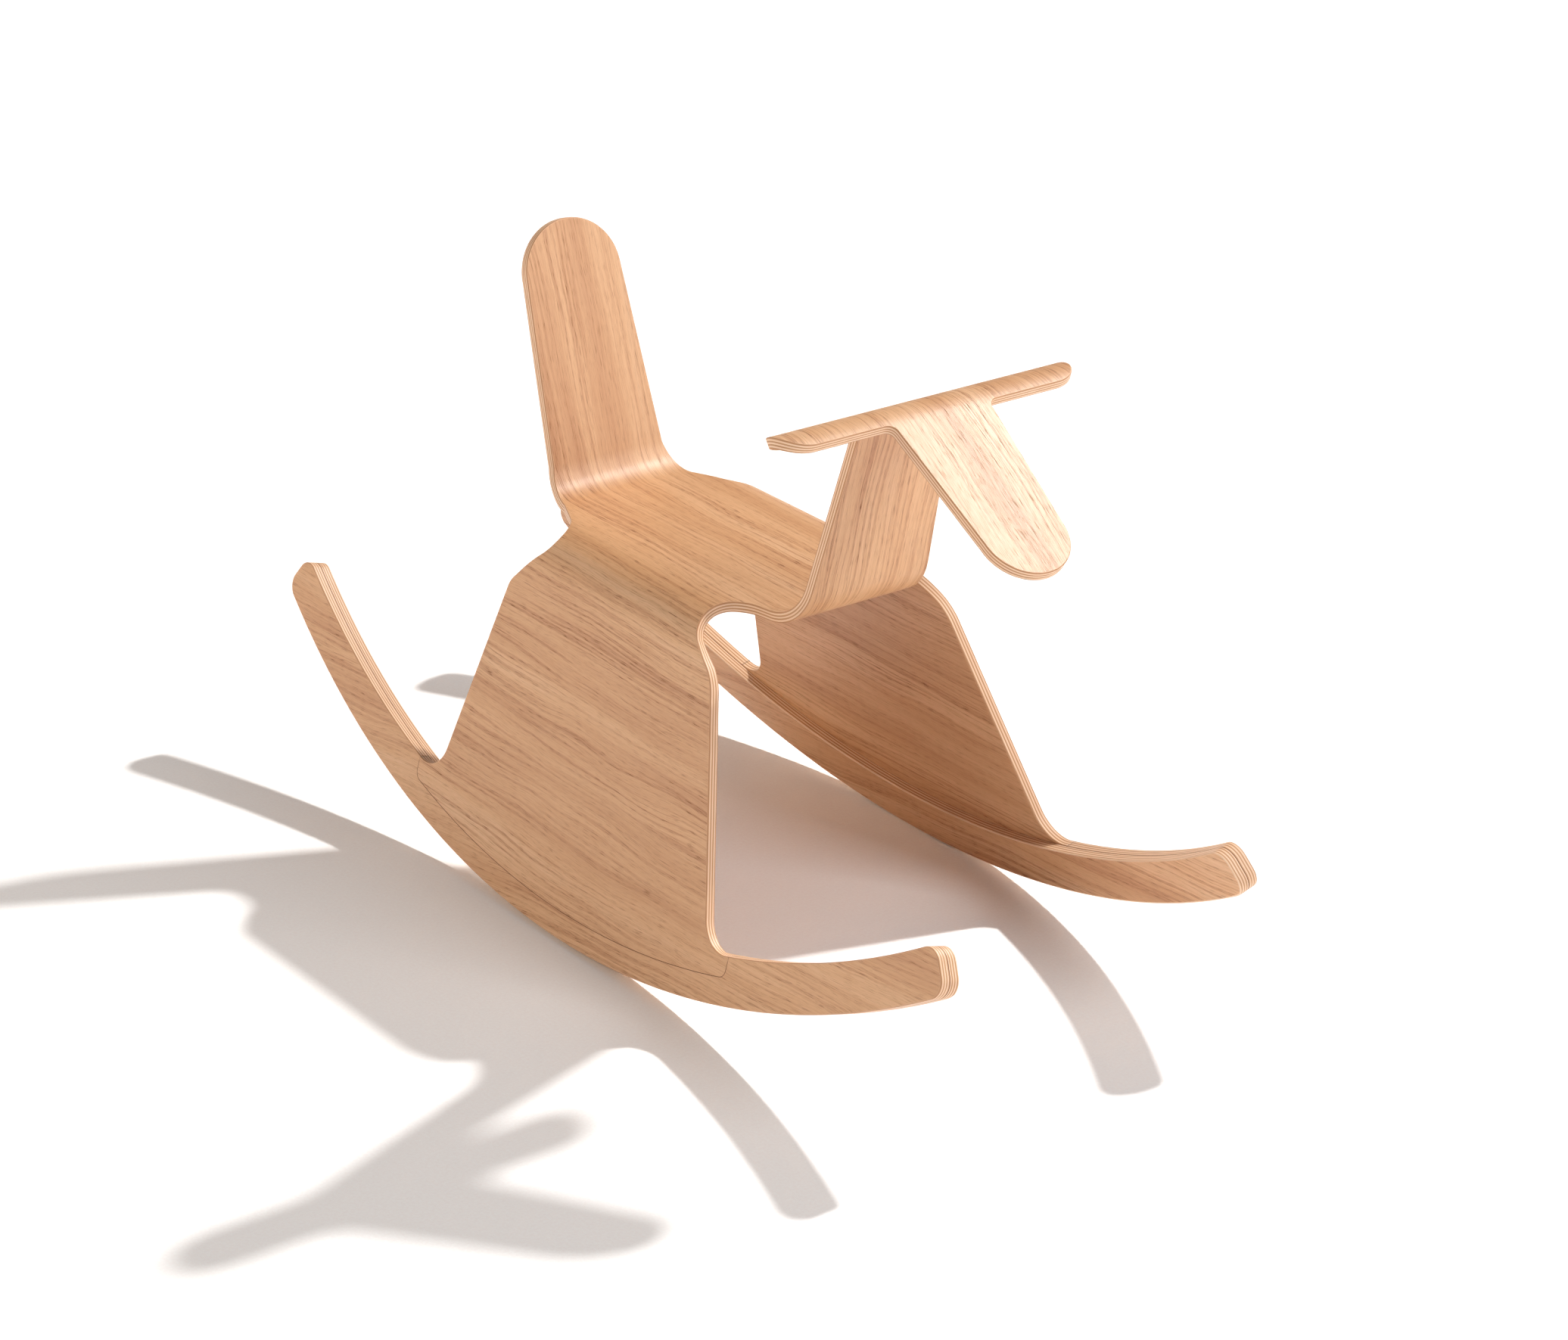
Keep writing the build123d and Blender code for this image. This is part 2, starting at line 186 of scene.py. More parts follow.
def rounded(corners, radii, step=1.6):
    """Points along a polygon's corners, with corner k turned on an arc of radii[k]."""
    points = []
    count = len(corners)
    for k in range(count):
        here, radius = np.array(corners[k], float), radii[k]
        before, after = np.array(corners[k - 1], float), np.array(corners[(k + 1) % count], float)
        if not radius:
            points.append(here[None])
            continue
        u = (before - here) / np.linalg.norm(before - here)
        v = (after - here) / np.linalg.norm(after - here)
        half = math.acos(np.clip(u @ v, -1, 1)) / 2
        middle = here + (u + v) / np.linalg.norm(u + v) * radius / math.sin(half)
        first = here + u * radius / math.tan(half) - middle
        last = here + v * radius / math.tan(half) - middle
        start = math.atan2(first[1], first[0])
        turn = (math.atan2(last[1], last[0]) - start + math.pi) % (2 * math.pi) - math.pi
        angle = start + turn * np.linspace(0, 1, max(3, int(abs(turn) * radius / step) + 2))
        points.append(middle + radius * np.stack([np.cos(angle), np.sin(angle)], 1))
    return np.concatenate(points)


def dense(points, step=4.0, same=1e-4):
    """A closed outline with points no further than step apart, and none nearer than same."""
    kept = []
    for p, q in zip(points, np.roll(points, -1, 0)):
        gap = np.linalg.norm(q - p)
        if gap < same:
            continue
        count = max(1, int(math.ceil(gap / step)))
        kept.append(p + (q - p) * (np.arange(count) / count)[:, None])
    return np.concatenate(kept)


def cut_line(rows):
    """The closed outline through rows of (corner, radius), anticlockwise in (a, b)."""
    points = dense(rounded([p for p, _ in rows], [r for _, r in rows]))
    after = np.roll(points, -1, 0)
    area = (points[:, 0] * after[:, 1] - points[:, 1] * after[:, 0]).sum()
    return points if area > 0 else points[::-1]


def plain(points):
    """Rows for points that no arc rounds."""
    return [(p, 0) for p in points]


def arc_points(radius, start, end, step=4.0):
    """Points (a, b) on a circle about the runners' centre, between two places along the grain:
    a = TOUCH + radius sin t and b = centre_b + radius cos t."""
    t0, t1 = (math.asin((a - TOUCH) / radius) for a in (start, end))
    turns = np.linspace(t0, t1, max(3, int(abs(t1 - t0) * radius / step)))
    return [(TOUCH + radius * math.sin(t), centre_b + radius * math.cos(t)) for t in turns]


def arc_point(radius, a):
    """The one point at a on that circle."""
    t = math.asin((a - TOUCH) / radius)
    return TOUCH + radius * math.sin(t), centre_b + radius * math.cos(t)


def ankle(shoulder, lean):
    """Where the side panel's slanting edge meets the runner's top."""
    start = shoulder[0] - TOUCH + lean * (centre_b - shoulder[1])
    square = 1 + lean ** 2
    run = (math.sqrt(square * top_radius ** 2 - start ** 2) - start * lean) / square
    return TOUCH + start + lean * run, centre_b + run


def side_at(a, p, q):
    """b at a on the straight from p to q."""
    return p[1] + (q[1] - p[1]) * (a - p[0]) / (q[0] - p[0])


# Outline of the sheet's left half, from the nose back to the top of the backrest
front_shoulder, rear_shoulder = (131.1, 142.0), (-152.3, 152.5)
front_notch, rear_notch = (40.0, 75.9), (-96.5, 93.0)
flare = (-165.6, 61.5)
neck_corner = (SEAT_FRONT + front_reach, NECK_FOOT_HALF)
front_ankle = ankle(front_shoulder, math.tan(FRONT_SLANT))
rear_ankle = ankle(rear_shoulder, -math.tan(REAR_SLANT))
front_toe, rear_toe = front_ankle[0] + FRONT_FOOT, rear_ankle[0] - REAR_FOOT
front_top, rear_top = arc_point(top_radius, front_toe), arc_point(top_radius, rear_toe)
bar_back, bar_front = neck_top + BAR_BACK, neck_top + BAR_FRONT
# 34 and 42 points lie about 1.8 mm apart on these quarter circles
head_arc = [(nose - NOSE_R + NOSE_R * math.sin(t), NOSE_R * math.cos(t))
            for t in np.linspace(math.pi / 2, 0, 34)]
back_arc = [(back_top + BACK_R - BACK_R * math.sin(t), BACK_R * math.cos(t))
            for t in np.linspace(0, math.pi / 2, 42)]
# The foot's lower edge, and what the rounding of each toe leaves of it
sole = arc_points(seam_radius, front_toe, rear_toe)
sole_kept = sole[4:-4]
half_outline = plain(head_arc) + [
    ((bar_front, HEAD_HALF), BAR_ROOT_R), ((bar_front, BAR_HALF), BAR_END_R),
    ((bar_back, BAR_HALF), BAR_END_R), ((bar_back, NECK_TOP_HALF), BAR_ROOT_R),
    ((neck_top, NECK_TOP_HALF), 0), ((neck_foot, NECK_FOOT_HALF), 0),
    ((SEAT_FRONT, side_at(SEAT_FRONT, neck_corner, front_notch)), 0),
    (front_notch, FRONT_NOTCH_R), (front_shoulder, FRONT_SHOULDER_R), (front_ankle, ANKLE_R),
    (front_top, 0), (sole[0], TOE_R)] + plain(sole_kept) + [(sole[-1], TOE_R), (rear_top, 0),
    (rear_ankle, ANKLE_R), (rear_shoulder, REAR_SHOULDER_R), (rear_notch, REAR_NOTCH_R),
    ((SEAT_REAR, side_at(SEAT_REAR, flare, rear_notch)), 0),
    ((back_foot, BACK_FOOT_HALF), 0)] + plain(back_arc)
mirrored = [((a, -b), radius) for (a, b), radius in half_outline[::-1]][1:-1]
sheet_outline = cut_line(half_outline + mirrored)

# A runner board's blank: two arcs about the runners' centre, with rounded ends
low_ends, top_ends = ([TOUCH + radius * math.sin(RUNNER_MID + way * RUNNER_HALF_TURN)
                       for way in (1, -1)] for radius in (RUNNER_R, top_radius))
low_line = arc_points(RUNNER_R, low_ends[0], low_ends[1])
top_line = arc_points(top_radius, top_ends[1], top_ends[0])


def trimmed(line, room=16):
    """An arc's points with those nearer than room to its ends left to the end roundings."""
    spots = np.array(line)
    from_first, from_last = (np.linalg.norm(spots - end, axis=1) for end in (spots[0], spots[-1]))
    return [tuple(p) for p in spots[(from_first > room) & (from_last > room)]]


def runner_outline(top_rows):
    """A runner board's outline with the given rows along its top."""
    return cut_line([(low_line[0], RUNNER_END_R)] + plain(trimmed(low_line)) + [
        (low_line[-1], RUNNER_END_R), (top_line[0], RUNNER_END_R)] + top_rows + [
        (top_line[-1], RUNNER_END_R)])


top_kept = trimmed(top_line)
inner_outline = runner_outline(plain(top_kept))
# The outer board is cut down to the seam between the toes
outer_outline = runner_outline(
    plain([p for p in top_kept if p[0] < rear_toe - 1]) + [(rear_top, 0), (sole[-1], TOE_R)]
    + plain(sole_kept[::-1]) + [(sole[0], TOE_R), (front_top, 0)]
    + plain([p for p in top_kept if p[0] > front_toe + 1]))


def outward(points):
    """Unit normals of a closed outline that runs anticlockwise, pointing out of it."""
    run = np.roll(points, -1, 0) - np.roll(points, 1, 0)
    normal = np.stack([run[:, 1], -run[:, 0]], 1)
    return normal / np.linalg.norm(normal, axis=1)[:, None]


def inside(points, outline):
    """Which points lie inside the outline: an odd number of its edges pass to their right."""
    x0, y0 = outline[:, 0], outline[:, 1]
    x1, y1 = np.roll(x0, -1), np.roll(y0, -1)
    px, py = points[:, 0:1], points[:, 1:2]
    spans = (y0 > py) != (y1 > py)
    rise = np.where(y1 == y0, 1.0, y1 - y0)
    return (spans & (px < x0 + (py - y0) / rise * (x1 - x0))).sum(1) % 2 == 1


def cut_blank(outline, pitch):
    """Triangles over a flat blank: a square grid of the given pitch joined to the outline.
    Gives the places, the triangles and where each outline point is among the places."""
    clear, at_once = pitch * 0.55, 60
    inside_only, merged, sliver = 1, 1e-6, 1e-7
    low, high = outline.min(0), outline.max(0)
    u, v = np.meshgrid(*(np.arange(low[k], high[k], pitch) for k in (0, 1)), indexing="ij")
    grid = np.stack([u.ravel(), v.ravel()], 1)
    grid = grid[inside(grid, outline)]
    gap = np.full(len(grid), np.inf)
    for chunk in np.array_split(np.arange(len(outline)), max(1, len(outline) // at_once)):
        reach = np.linalg.norm(grid[:, None] - outline[chunk][None], axis=2).min(1)
        gap = np.minimum(gap, reach)
    points = np.concatenate([outline, grid[gap > clear]])
    count = len(outline)
    edges = [(k, (k + 1) % count) for k in range(count)]
    made = delaunay_2d_cdt([Vector(p) for p in points], edges, [], inside_only, merged)
    flat = np.array([tuple(p) for p in made[0]])
    triangles = np.array([f for f in made[2] if len(f) == 3])
    rim = np.full(count, -1)
    for new, old in enumerate(made[3]):
        for k in old:
            if k < count:
                rim[k] = new
    p, q, r = (flat[triangles[:, k]] for k in range(3))
    area = (q - p)[:, 0] * (r - p)[:, 1] - (q - p)[:, 1] * (r - p)[:, 0]
    triangles[area < 0] = triangles[area < 0][:, ::-1]
    return flat, triangles[np.abs(area) > sliver], rim


# Order of every piece's material slots
# The third slot holds a dark brown of painted shade for the groove where two boards meet
FACE, EDGE, SEAM_SHADE_SLOT = 0, 1, 2


def board_mesh(name, outline, form, near, far, near_round, far_round, pitch, flip=False):
    """A board cut from a blank: its faces are form(a, b) moved in by the depths near and far,
    and its edge runs square between them with each arris rounded by a quarter circle:
    out = r sin t - r, depth = r (1 - cos t). Attribute "flat" holds (a, b, depth) and "edge"
    (length along the outline, depth), in metres. flip turns the faces of a mirrored form."""
    out = outward(outline)
    flat_n, tri_n, rim_n = cut_blank(outline - out * near_round[:, None], pitch)
    flat_f, tri_f, rim_f = cut_blank(outline - out * far_round[:, None], pitch)
    turn = np.linspace(0, math.pi / 2, 4)[1:]
    loops = [(near_round * (math.sin(t) - 1), near + near_round * (1 - math.cos(t)), t)
             for t in turn]
    loops += [(far_round * (math.sin(t) - 1), far - far_round * (1 - math.cos(t)), math.pi - t)
              for t in turn[::-1]]
    place, depth, tilt = [flat_n], [np.full(len(flat_n), near)], [np.zeros(len(flat_n))]
    push = [np.zeros((len(flat_n), 2))]
    for offset, deep, t in loops:
        place.append(outline + out * offset[:, None])
        depth.append(deep)
        tilt.append(np.full(len(outline), t))
        push.append(out)
    place.append(flat_f)
    depth.append(np.full(len(flat_f), far))
    tilt.append(np.full(len(flat_f), math.pi))
    push.append(np.zeros((len(flat_f), 2)))
    flat, depth, tilt, push = (np.concatenate(x) for x in (place, depth, tilt, push))
    where, along, across, normal = form(flat[:, 0], flat[:, 1])
    shape = where - depth[:, None] * normal
    wall = push[:, 0:1] * along + push[:, 1:2] * across
    shading = np.cos(tilt)[:, None] * normal + np.sin(tilt)[:, None] * wall
    count, first = len(outline), len(flat_n)
    rings = [rim_n] + [first + k * count + np.arange(count) for k in range(len(loops))]
    rings.append(first + len(loops) * count + rim_f)
    faces = [tuple(f) for f in tri_n]
    kinds = [FACE] * len(faces)
    middle = (len(rings) - 1) // 2
    for k, (upper, lower) in enumerate(zip(rings, rings[1:])):
        faces += list(zip(upper, lower, np.roll(lower, -1), np.roll(upper, -1)))
        arris = near_round if k < middle else far_round
        # Faces between two tight arrises, in the seam groove, take the painted seam shade
        glued = (arris == TIGHT) & (np.roll(arris, -1) == TIGHT) & (k != middle)
        kinds += np.where(glued, SEAM_SHADE_SLOT, EDGE).tolist()
    back = tri_f + first + len(loops) * count
    faces += [tuple(f[::-1]) for f in back]
    kinds += [FACE] * len(back)
    if flip:
        faces = [f[::-1] for f in faces]
    mesh = bpy.data.meshes.new(name)
    mesh.from_pydata((shape / 1000).tolist(), [], [tuple(int(v) for v in f) for f in faces])
    run = np.concatenate([[0], np.cumsum(np.linalg.norm(np.diff(outline, axis=0), axis=1))])
    length = np.zeros(len(flat))
    for ring in rings[1:-1]:
        length[ring] = run
    for key, values in (("flat", np.stack([flat[:, 0], flat[:, 1], depth], 1)),
                        ("edge", np.stack([length, depth, 0 * depth], 1))):
        made = mesh.attributes.new(key, "FLOAT_VECTOR", "POINT")
        made.data.foreach_set("vector", (values / 1000).astype(np.float32).ravel())
    uv = mesh.uv_layers.new(name="blank")
    corner = np.zeros(len(mesh.loops), np.int32)
    mesh.loops.foreach_get("vertex_index", corner)
    uv.data.foreach_set("uv", (flat[corner] / 1000 + 0.5).astype(np.float32).ravel())
    mesh.polygons.foreach_set("material_index", np.array(kinds, np.int32))
    mesh.shade_smooth()
    shading /= np.linalg.norm(shading, axis=1)[:, None]
    mesh.normals_split_custom_set_from_vertices(shading.tolist())
    mesh.update()
    piece = bpy.data.objects.new(name, mesh)
    bpy.context.scene.collection.objects.link(piece)
    return piece


def linear(colour):
    """sRGB hex to linear colour."""
    parts = [int(colour[k:k + 2], 16) / 255 for k in (1, 3, 5)]
    return tuple(c / 12.92 if c <= 0.04045 else ((c + 0.055) / 1.055) ** 2.4 for c in parts) + (1.0,)


def grey(value):
    """A linear grey, for a ramp that gives a number."""
    return (value, value, value, 1.0)


def node(tree, kind, inputs=None, stops=(), **settings):
    """Adds a node with its settings, the (position, colour) stops of its ramp, and its inputs:
    each is linked to a socket or to a node's first output, or set to a value."""
    made = tree.nodes.new("ShaderNode" + kind)
    for key, value in settings.items():
        setattr(made, key, value)
    if stops:
        band = made.color_ramp
        while len(band.elements) < len(stops):
            band.elements.new(0.5)
        for element, (at, colour) in zip(band.elements, stops):
            element.position = at
            element.color = colour
    for key, value in (inputs or {}).items():
        if isinstance(value, bpy.types.Node):
            value = value.outputs[0]
        if isinstance(value, bpy.types.NodeSocket):
            tree.links.new(value, made.inputs[key])
        else:
            made.inputs[key].default_value = value
    return made


def new_material(name):
    """An empty material and its node tree."""
    made = bpy.data.materials.new(name)
    made.use_nodes = True
    tree = made.node_tree
    tree.nodes.clear()
    return made, tree


def streaks(tree, along, across, cells, layer=0.0, detail=2.0, rough=0.5):
    """Uneven streaks along the grain: cells is how many there are in a metre along and across
    it, and layer takes another part of the pattern."""
    place = node(tree, "CombineXYZ", {
        0: node(tree, "Math", {0: along, 1: cells[0]}, operation="MULTIPLY"),
        1: node(tree, "Math", {0: across, 1: cells[1]}, operation="MULTIPLY"),
        2: layer})
    return node(tree, "TexNoise", {
        "Vector": place, "Scale": 1.0, "Detail": detail, "Roughness": rough})


# Oak's figure, in cells to a metre along the grain and across it
SWAY = (3.0, 9.0)          # 330 x 110 mm, the slow bend of the grain
WAVE = (12.0, 60.0)        # 83 x 17 mm, the small waves on it
TONE = (1.4, 30.0)         # 710 x 33 mm, bands of paler and darker wood
ROWS = (5.0, 420.0)        # 200 x 2.4 mm, the year rings' rows of early wood
STRENGTH = (2.5, 20.0)     # 400 x 50 mm, where the rows are strong or weak
FIBRE = (22.0, 1300.0)     # 45 x 0.8 mm, bundles of fibre
PORES = (75.0, 2300.0)     # 13 x 0.4 mm, open pores
SWAY_BY, WAVE_BY = 0.030, 0.005    # how far those two move the grain, in metres
BACK_SHIFT = 47.0          # metres across the veneer for each metre of depth


def lacquered_oak(name, shift, slant=0.0):
    """Sliced oak veneer, sanded and sprayed with clear satin lacquer. Rows of early wood 2.4 mm
    apart make the stripes, their open pores are dark dashes 0.4 mm wide and about 13 mm long
    that the lacquer doesn't fill, so they are duller and lie lower than the satin wood between
    them, and the tone drifts over 33 mm across the grain. shift and slant in degrees place the
    board on the veneer, and its back shows another part of it."""
    made, tree = new_material(name)
    flat = node(tree, "Attribute", attribute_name="flat").outputs["Vector"]
    placed = node(tree, "Mapping", {"Vector": flat, "Location": (shift[0], shift[1], 0.0),
                                    "Rotation": (0.0, 0.0, math.radians(slant))})
    along, side, depth = node(tree, "SeparateXYZ", {0: placed}).outputs
    across = node(tree, "Math", {0: depth, 1: BACK_SHIFT, 2: side}, operation="MULTIPLY_ADD")
    sway = node(tree, "Math", {0: streaks(tree, along, across, SWAY, 0.5), 1: 0.5},
                operation="SUBTRACT")
    drift = node(tree, "Math", {0: sway, 1: SWAY_BY, 2: across}, operation="MULTIPLY_ADD")
    wave = node(tree, "Math", {0: streaks(tree, along, drift, WAVE, 4.5), 1: 0.5},
                operation="SUBTRACT")
    drift = node(tree, "Math", {0: wave, 1: WAVE_BY, 2: drift}, operation="MULTIPLY_ADD")

    tone = node(tree, "ValToRGB", {0: streaks(tree, along, drift, TONE, 0.3, 3.0)}, stops=[
        (0.28, linear("#bd8658")), (0.44, linear("#cd9a6b")),
        (0.58, linear("#d8a87a")), (0.76, linear("#deb48b"))])
    rows = node(tree, "ValToRGB", {0: streaks(tree, along, drift, ROWS, 1.7, 2.0, 0.6)},
                stops=[(0.38, grey(1.0)), (0.52, grey(0.0))])
    strength = node(tree, "ValToRGB", {0: streaks(tree, along, drift, STRENGTH, 8.8, 1.0)},
                    stops=[(0.32, grey(0.3)), (0.62, grey(1.0))])
    rows = node(tree, "Math", {0: rows, 1: strength}, operation="MULTIPLY")
    fibre = streaks(tree, along, drift, FIBRE, 6.2, 2.0, 0.7)
    dash = node(tree, "ValToRGB", {0: streaks(tree, along, drift, PORES, 3.1, 1.0)},
                stops=[(0.34, grey(1.0)), (0.42, grey(0.0))])
    in_rows = node(tree, "Math", {0: rows, 1: 0.7, 2: 0.3}, operation="MULTIPLY_ADD")
    pores = node(tree, "Math", {0: dash, 1: in_rows}, operation="MULTIPLY")

    # Early wood, then fibre, then pores darken the tone
    for cover, colour in (
            (node(tree, "Math", {0: rows, 1: 0.60}, operation="MULTIPLY"), "#9f6234"),
            (node(tree, "Math", {0: fibre, 1: 1.0, 2: -0.32}, operation="MULTIPLY_ADD"), "#b97e4c"),
            (node(tree, "Math", {0: pores, 1: 0.9}, operation="MULTIPLY"), "#704326")):
        tone = node(tree, "Mix", {0: cover, 6: tone, 7: linear(colour)}, data_type="RGBA").outputs[2]

    # Roughness 0.42 + 0.1 fibre + 0.3 pores, gloss 1 - 0.6 (pores + 0.3 rows),
    # height -(pores + 0.25 rows)
    rough = node(tree, "Math", {0: fibre, 1: 0.1, 2: 0.42}, operation="MULTIPLY_ADD")
    rough = node(tree, "Math", {0: pores, 1: 0.3, 2: rough}, operation="MULTIPLY_ADD")
    dull = node(tree, "Math", {0: rows, 1: 0.3}, operation="MULTIPLY")
    dull = node(tree, "Math", {0: pores, 1: dull}, operation="ADD")
    gloss = node(tree, "Math", {0: dull, 1: -0.6, 2: 1.0}, operation="MULTIPLY_ADD")
    dip = node(tree, "Math", {0: rows, 1: 0.25, 2: pores}, operation="MULTIPLY_ADD")
    height = node(tree, "Math", {0: dip, 1: -1.0}, operation="MULTIPLY")
    bump = node(tree, "Bump", {"Strength": 0.4, "Distance": 0.0003, "Height": height})
    shader = node(tree, "BsdfPrincipled", {"Base Color": tone, "Roughness": rough, "Normal": bump,
                                           "Specular IOR Level": gloss})
    node(tree, "OutputMaterial", {"Surface": shader})
    return made


# A ply's edge, in cells to a metre along it and through it
PLY_WAVE = (14.0, 200.0)      # 71 x 5 mm, the plies' slight waviness
PLY_STREAK = (45.0, 2600.0)   # 22 x 0.4 mm, streaks in each ply


def sawn_ply(name):
    """Sawn and sanded edge of the plies under the same lacquer. depth / 1.286 mm counts them
    and half that count's fraction tells them apart: first, third, fifth and seventh are brown,
    and those between are pale, so the edge shows seven fine stripes. Streaks run along it. The
    count runs on through both boards of a runner."""
    made, tree = new_material(name)
    edge = node(tree, "Attribute", attribute_name="edge").outputs["Vector"]
    run, depth = node(tree, "SeparateXYZ", {0: edge}).outputs[:2]
    wave = streaks(tree, run, depth, PLY_WAVE)
    wave = node(tree, "Math", {0: wave, 1: 0.36, 2: -0.18}, operation="MULTIPLY_ADD")
    count = node(tree, "Math", {0: depth, 1: 1000 * PLIES / BOARD}, operation="MULTIPLY")
    count = node(tree, "Math", {0: count, 1: wave}, operation="ADD")
    pair = node(tree, "Math", {0: count, 1: 0.5}, operation="MULTIPLY")
    phase = node(tree, "Math", {0: pair}, operation="FRACT")
    band = node(tree, "ValToRGB", {0: phase}, stops=[
        (0.0, grey(0.25)), (0.05, grey(1.0)), (0.44, grey(1.0)),
        (0.53, grey(0.0)), (0.93, grey(0.0)), (1.0, grey(0.25))])
    streak = streaks(tree, run, depth, PLY_STREAK, 0.0, 3.0, 0.6)
    pale, brown = (node(tree, "ValToRGB", {0: streak}, stops=[(0.3, linear(dark)), (0.7, linear(light))])
                   for dark, light in (("#deb793", "#ecceb2"), ("#ab7850", "#c79469")))
    tone = node(tree, "Mix", {0: band, 6: pale, 7: brown}, data_type="RGBA").outputs[2]
    bump = node(tree, "Bump", {"Strength": 0.2, "Distance": 0.0003, "Height": streak})
    shader = node(tree, "BsdfPrincipled", {"Base Color": tone, "Roughness": 0.5, "Normal": bump})
    node(tree, "OutputMaterial", {"Surface": shader})
    return made


def painted_seam_shade(name):
    """Painted shade: a dark brown hairline on the groove where two boards meet, standing for the shade
    in that groove, with noise in its tone.
    """
    made, tree = new_material(name)
    flat = node(tree, "Attribute", attribute_name="flat").outputs["Vector"]
    seam_tone_noise = node(tree, "TexNoise", {"Vector": flat, "Scale": 300.0, "Detail": 3.0})
    # Dark brown tones of painted shade for the seam groove
    tone = node(tree, "ValToRGB", {0: seam_tone_noise}, stops=[
        (0.35, linear("#6b4227")), (0.65, linear("#94623d"))])
    bump = node(tree, "Bump", {"Strength": 0.3, "Distance": 0.0002, "Height": seam_tone_noise})
    shader = node(tree, "BsdfPrincipled", {"Base Color": tone, "Roughness": 0.6, "Normal": bump})
    node(tree, "OutputMaterial", {"Surface": shader})
    return made


def radius_of(outline):
    """How far each outline point is from the runners' centre, on either side of the blank."""
    return np.hypot(outline[:, 0] - TOUCH, np.abs(outline[:, 1]) - centre_b)


# Which arrises are tight: the foot's below the runner's top, and the outer board's along the seam
LOW_PANEL = 200.0
sheet_radius, outer_radius = radius_of(sheet_outline), radius_of(outer_outline)
in_runner = (sheet_radius > top_radius + 1.5) & (np.abs(sheet_outline[:, 1]) > LOW_PANEL)
in_seam = ((outer_outline[:, 0] > rear_toe - 0.5) & (outer_outline[:, 0] < front_toe + 0.5)
           & (outer_radius > top_radius + 0.3) & (outer_radius < seam_radius + 3))
sheet_arris = np.where(in_runner, TIGHT, ARRIS)
outer_near = np.where(in_seam, TIGHT, ARRIS)
outer_far = np.full(len(outer_outline), TIGHT)
inner_near = np.full(len(inner_outline), TIGHT)
inner_far = np.where(radius_of(inner_outline) > RUNNER_R - 1, SOLE_ARRIS, ARRIS)

sheet = board_mesh("bent_sheet", sheet_outline, sheet_form, 0.0, BOARD,
                   sheet_arris, sheet_arris, SHEET_PITCH)
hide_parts("shell_upper_veneer", "shell_core", "shell_lower_veneer")
boards = []
for side, form, flip in (("left", saddle_form, False), ("right", mirror_form, True)):
    outer = board_mesh(f"runner_{side}_outer_board", outer_outline, form, 0.0, BOARD,
                       outer_near, outer_far, RUNNER_PITCH, flip)
    inner = board_mesh(f"runner_{side}_inner_board", inner_outline, form, BOARD, 2 * BOARD,
                       inner_near, inner_far, RUNNER_PITCH, flip)
    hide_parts(*[f"runner_{side}_outer_{part}" for part in ("face_veneer", "core", "glue_veneer")])
    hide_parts(*[f"runner_{side}_inner_{part}" for part in ("glue_veneer", "core", "face_veneer")])
    boards += [outer, inner]
pieces = [sheet] + boards

# Face, edge and seam slots of each piece, the seam's a dark brown of painted shade; the runners' veneer
# is cut 4 degrees off the grain
# Painted shade for the seam groove between two boards
seam_shade = painted_seam_shade("painted_seam_shade")
runner_edge = sawn_ply("sawn_ply_runner")
for made in (lacquered_oak("lacquered_oak_sheet", (0.0, 0.0)), sawn_ply("sawn_ply_sheet"), seam_shade):
    sheet.data.materials.append(made)
for count, piece in enumerate(boards):
    shift = (0.37 * count + 0.2, 0.61 * count + 0.4)
    face = lacquered_oak(f"lacquered_oak_runner_{count}", shift, 4.0)
    for made in (face, runner_edge, seam_shade):
        piece.data.materials.append(made)
for piece in pieces:
    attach(piece, "root")

# White studio floor of matt paper, 0.1 mm below the runners. It shines a little further out,
# from 1.3 m to 5 m, so that it stays white there.
FLOOR_HALF, FLOOR_Z = 30, -0.0001
floor_mesh = bpy.data.meshes.new("floor")
floor_mesh.from_pydata([(x * FLOOR_HALF, y * FLOOR_HALF, FLOOR_Z) for x, y in
                        ((-1, -1), (1, -1), (1, 1), (-1, 1))], [], [(0, 1, 2, 3)])
floor = bpy.data.objects.new("floor", floor_mesh)
bpy.context.scene.collection.objects.link(floor)
paper, tree = new_material("matt_paper")
spot = node(tree, "TexCoord").outputs["Object"]
reach = node(tree, "VectorMath", {0: spot}, operation="LENGTH").outputs["Value"]
glow = node(tree, "MapRange", {"Value": reach, "From Min": 1.3, "From Max": 5.0, "To Max": 0.6})
fleck = node(tree, "TexNoise", {"Vector": spot, "Scale": 400.0})
white = node(tree, "ValToRGB", {0: fleck}, stops=[(0.3, linear("#fbf9f9")), (0.7, linear("#ffffff"))])
shader = node(tree, "BsdfPrincipled", {
    "Base Color": white, "Roughness": 0.9, "Specular IOR Level": 0.0,
    "Emission Color": (1.0, 1.0, 1.0, 1.0), "Emission Strength": glow})
node(tree, "OutputMaterial", {"Surface": shader})
floor.data.materials.append(paper)

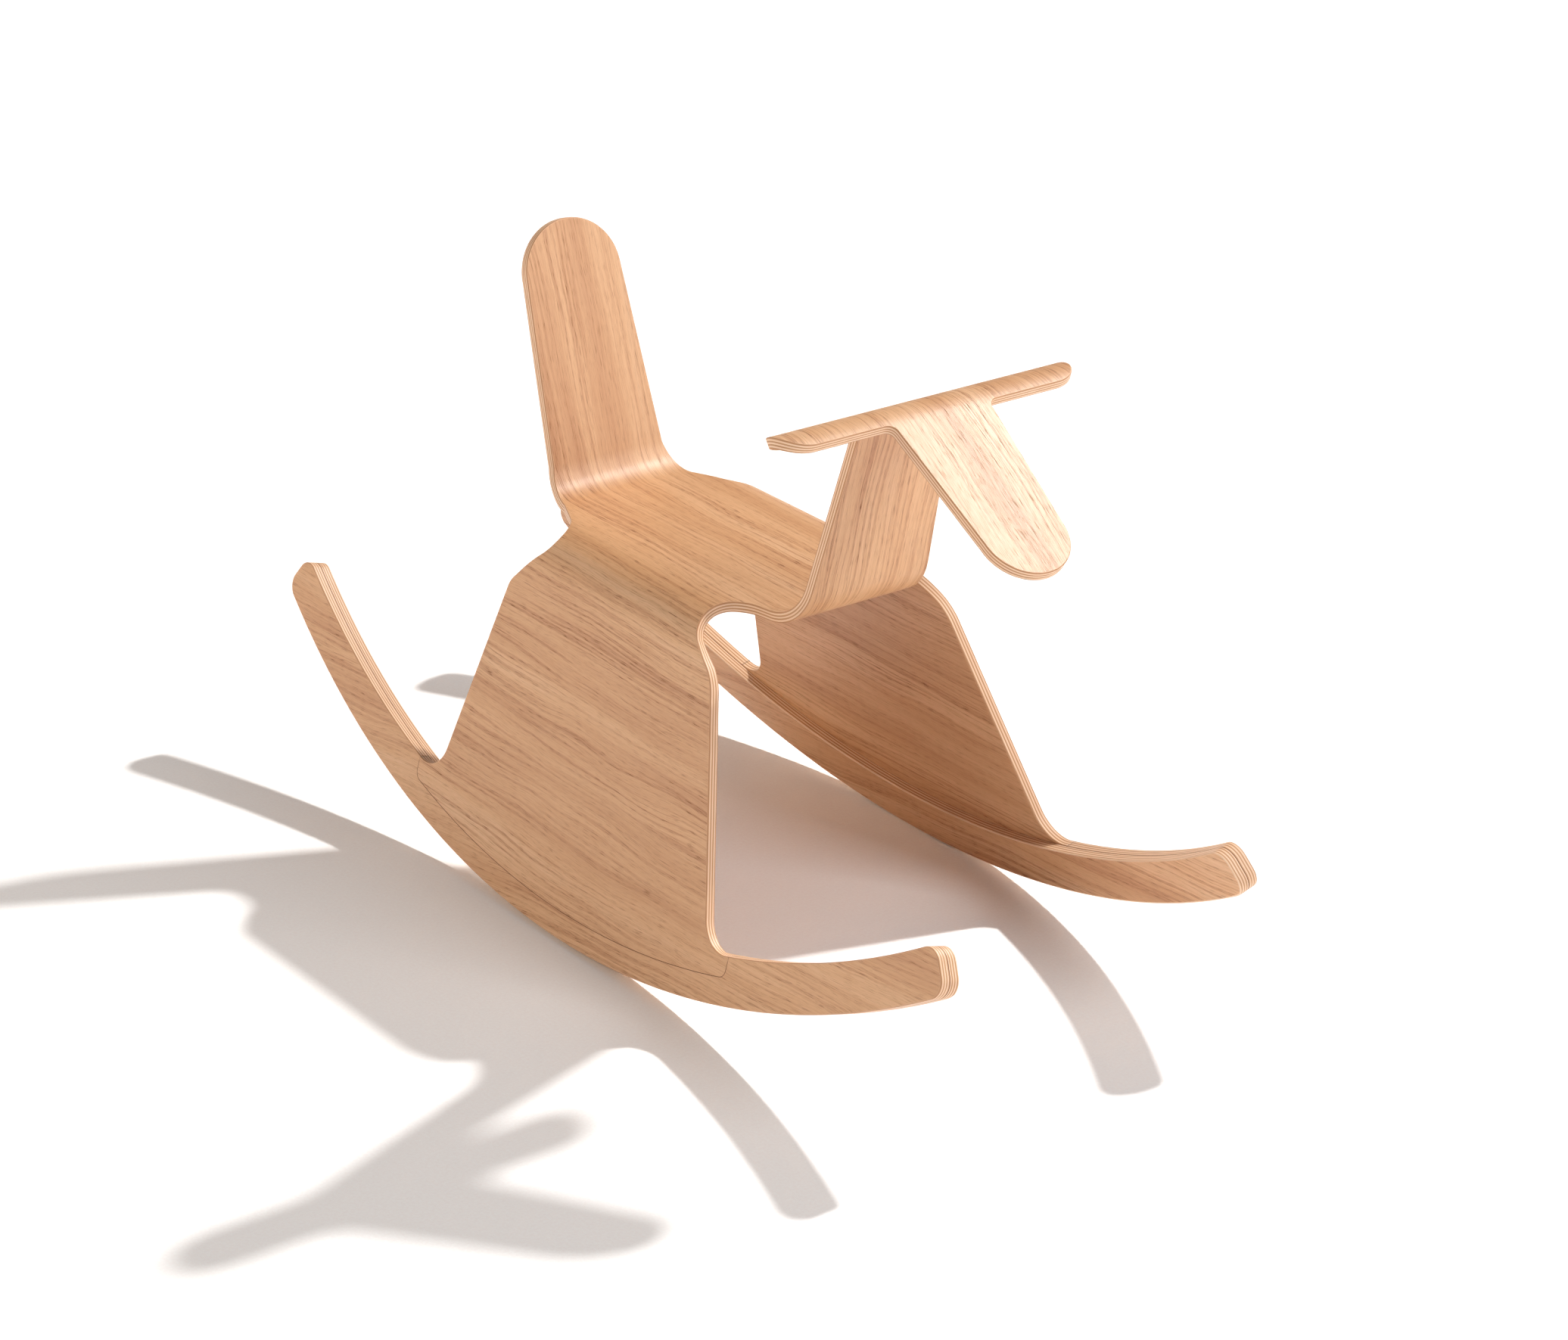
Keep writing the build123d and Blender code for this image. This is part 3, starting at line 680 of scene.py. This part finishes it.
# Pale light from all round, a small key lamp on the left, softboxes in front and at the rear right
world = bpy.data.worlds.new("studio")
bpy.context.scene.world = world
world.use_nodes = True
world.node_tree.nodes["Background"].inputs["Color"].default_value = (1.0, 0.97, 0.99, 1.0)
world.node_tree.nodes["Background"].inputs["Strength"].default_value = 0.27


def add_lamp(name, place, aim, power, size, colour):
    """A softbox of the given side in metres at place, turned to shine at aim."""
    light = bpy.data.lights.new(name, "AREA")
    light.energy, light.size, light.color = power, size, colour
    lamp = bpy.data.objects.new(name, light)
    lamp.location = place
    lamp.rotation_euler = (Vector(place) - Vector(aim)).to_track_quat("Z", "Y").to_euler()
    bpy.context.scene.collection.objects.link(lamp)


def add_key(place, power, radius, colour):
    """A small bare lamp whose light stays as strong over the whole floor."""
    light = bpy.data.lights.new("key", "POINT")
    light.energy, light.shadow_soft_size, light.color = power, radius, colour
    light.use_nodes = True
    tree = light.node_tree
    even = node(tree, "LightFalloff", {"Strength": 1.0}).outputs["Constant"]
    tree.links.new(even, tree.nodes["Emission"].inputs["Strength"])
    lamp = bpy.data.objects.new("key", light)
    lamp.location = place
    bpy.context.scene.collection.objects.link(lamp)


add_key((0.13, 1.95, 2.35), 40.0, 0.06, (1.0, 0.99, 0.97))
add_lamp("front", (3.2, 1.3, 2.4), (0.0, 0.0, 0.3), 74.0, 1.8, (1.0, 0.99, 0.98))
add_lamp("fill", (-1.6, -3.2, 1.5), (0.0, 0.0, 0.2), 56.0, 2.5, (1.0, 0.86, 0.68))

# Camera: front right and above, turned by yaw and down by pitch, long lens
CAMERA_AT = (2.6989, -1.9452, 1.6382)
YAW, PITCH = 2.5057861, 0.4108071
ahead = Vector((math.cos(YAW) * math.cos(PITCH), math.sin(YAW) * math.cos(PITCH), -math.sin(PITCH)))
right = Vector((math.sin(YAW), -math.cos(YAW), 0.0))
up = right.cross(ahead)
lens = bpy.data.cameras.new("camera")
lens.sensor_width = 36.0
lens.lens = 100.75
lens.clip_end = 100.0
camera = bpy.data.objects.new("camera", lens)
turned = Matrix((right, up, -ahead)).transposed().to_4x4()
camera.matrix_world = Matrix.Translation(CAMERA_AT) @ turned
bpy.context.scene.collection.objects.link(camera)
bpy.context.scene.camera = camera
bpy.context.scene.view_settings.view_transform = "Standard"
